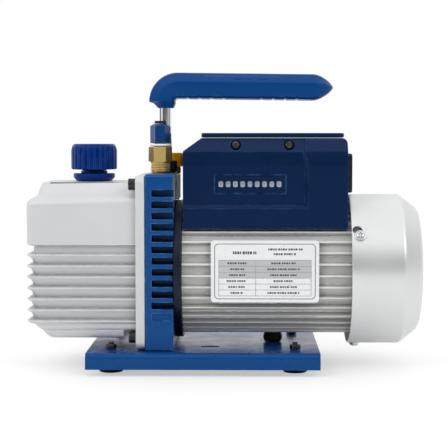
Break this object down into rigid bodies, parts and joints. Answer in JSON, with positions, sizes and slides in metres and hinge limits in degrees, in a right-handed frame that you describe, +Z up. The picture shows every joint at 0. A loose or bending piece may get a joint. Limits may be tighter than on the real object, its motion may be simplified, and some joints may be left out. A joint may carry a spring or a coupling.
{
  "type": "rotary vane vacuum pump",
  "caption": "Oil-sealed rotary vane vacuum pump with finned oil casing, ribbed electric motor, terminal box and carrying handle on a folded base plate.",
  "frame": {"origin": "centre of the object in plan, on the floor under the feet", "axes": "+X along the motor axis from the oil casing to the fan cover, +Y to the rear (the rating plate faces -Y), +Z up"},
  "size_m": [0.29, 0.12, 0.2207],
  "materials": {
    "blue_paint": "gloss",
    "navy_plastic": "satin",
    "royal_plastic": "satin",
    "grip_plastic": "satin",
    "cast_aluminium": "cast, satin",
    "ribbed_aluminium": "extruded, satin",
    "sheet_steel": "polished sheet",
    "bright_steel": "machined",
    "dark_steel": "black oxide",
    "cast_iron": "machined",
    "core_steel": "laminated",
    "copper_wire": "enamelled copper",
    "brass": "machined",
    "chrome": "polished",
    "black_shield": "satin",
    "black_plastic": "satin",
    "black_rubber": "matte",
    "carbon_vane": "carbon filled resin",
    "white_seal": "satin",
    "yellow_plastic": "satin",
    "red_plastic": "satin",
    "oil_glass": "clear"
  },
  "bodies": {
    "pump_body": {"base_plate": "blue_paint", "box_screw_1": "dark_steel", "box_screw_2": "dark_steel", "casing_bolt_front_lower": "dark_steel", "casing_bolt_front_upper": "dark_steel", "casing_bolt_rear_lower": "dark_steel", "casing_bolt_rear_upper": "dark_steel", "casing_gasket": "black_rubber", "drain_plug": "bright_steel", "fan_cover": "sheet_steel", "fan_cover_screw_1": "bright_steel", "fan_cover_screw_2": "bright_steel", "fan_cover_screw_3": "bright_steel", "filler_seat": "royal_plastic", "foot_front_left": "black_rubber", "foot_front_right": "black_rubber", "foot_rear_left": "black_rubber", "foot_rear_right": "black_rubber", "foot_screw_front_left": "dark_steel", "foot_screw_front_right": "dark_steel", "foot_screw_rear_left": "dark_steel", "foot_screw_rear_right": "dark_steel", "handle_grip": "grip_plastic", "handle_rod": "chrome", "intake_fitting": "brass", "motor_buffer": "black_rubber", "motor_front_bearing": "bright_steel", "motor_front_shield": "black_shield", "motor_housing": "ribbed_aluminium", "motor_rear_bearing": "bright_steel", "motor_rear_shield": "cast_aluminium", "oil_casing": "cast_aluminium", "port_block": "cast_aluminium", "power_inlet": "black_plastic", "pump_bracket": "blue_paint", "pump_end_plate": "cast_iron", "pump_stator": "cast_iron", "rating_plate": "sheet_steel", "side_port_fitting": "brass", "sight_glass": "oil_glass", "sight_glass_bezel": "bright_steel", "start_capacitor": "ribbed_aluminium", "stator_core": "core_steel", "stator_windings": "copper_wire", "terminal_box": "navy_plastic", "terminal_box_lid": "navy_plastic"},
    "rotor": {"cooling_fan": "black_plastic", "motor_rotor": "core_steel", "motor_shaft": "bright_steel", "pump_rotor": "bright_steel"},
    "vane_front": {"vane_front": "carbon_vane"},
    "vane_rear": {"vane_rear": "carbon_vane"},
    "filler_seal": {"filler_seal": "black_rubber"},
    "filler_cap": {"filler_cap": "royal_plastic"},
    "flare_seal": {"flare_seal": "white_seal"},
    "flare_cap": {"flare_cap": "royal_plastic", "flare_cap_tether": "black_rubber"},
    "side_port_cap": {"side_port_cap": "yellow_plastic"},
    "gas_ballast_knob": {"gas_ballast_knob": "black_plastic"},
    "switch_rocker": {"switch_rocker": "red_plastic"}
  },
  "joints": [
    {"name": "rotor_spin", "type": "hinge", "parent": "pump_body", "child": "rotor", "pos_m": [0, 0, 0.0726], "axis": [1, 0, 0], "continuous": true},
    {"name": "vane_front_slide", "type": "slide", "parent": "rotor", "child": "vane_front", "axis": [0, -1, 0], "range_m": [0, 0.0032]},
    {"name": "vane_rear_slide", "type": "slide", "parent": "rotor", "child": "vane_rear", "axis": [0, 1, 0], "range_m": [0, 0.0032]},
    {"name": "filler_cap_lift", "type": "slide", "parent": "pump_body", "child": "filler_seal", "axis": [0, 0, 1], "range_m": [0, 0.0046]},
    {"name": "filler_cap_turn", "type": "hinge", "parent": "filler_seal", "child": "filler_cap", "pos_m": [-0.1, 0, 0.1475], "axis": [0, 0, 1], "range_deg": [0, 540]},
    {"name": "flare_cap_lift", "type": "slide", "parent": "pump_body", "child": "flare_seal", "axis": [0, 0, 1], "range_m": [0, 0.0046]},
    {"name": "flare_cap_turn", "type": "hinge", "parent": "flare_seal", "child": "flare_cap", "pos_m": [-0.0488, -0.015, 0.1672], "axis": [0, 0, 1], "range_deg": [0, 1080]},
    {"name": "side_port_cap_pull", "type": "slide", "parent": "pump_body", "child": "side_port_cap", "axis": [0, 0, 1], "range_m": [0, 0.008]},
    {"name": "gas_ballast_turn", "type": "hinge", "parent": "pump_body", "child": "gas_ballast_knob", "pos_m": [-0.0403, -0.004, 0.1457], "axis": [0, 0, 1], "range_deg": [0, 180]},
    {"name": "switch_rock", "type": "hinge", "parent": "pump_body", "child": "switch_rocker", "pos_m": [0.0902, 0.0155, 0.1443], "axis": [0, 1, 0], "range_deg": [0, 16]}
  ],
  "couplings": [
    {"joint": "filler_cap_lift", "follows": "filler_cap_turn", "m_per_rad": 0.00047746},
    {"joint": "flare_cap_lift", "follows": "flare_cap_turn", "m_per_rad": 0.00023873}
  ]
}
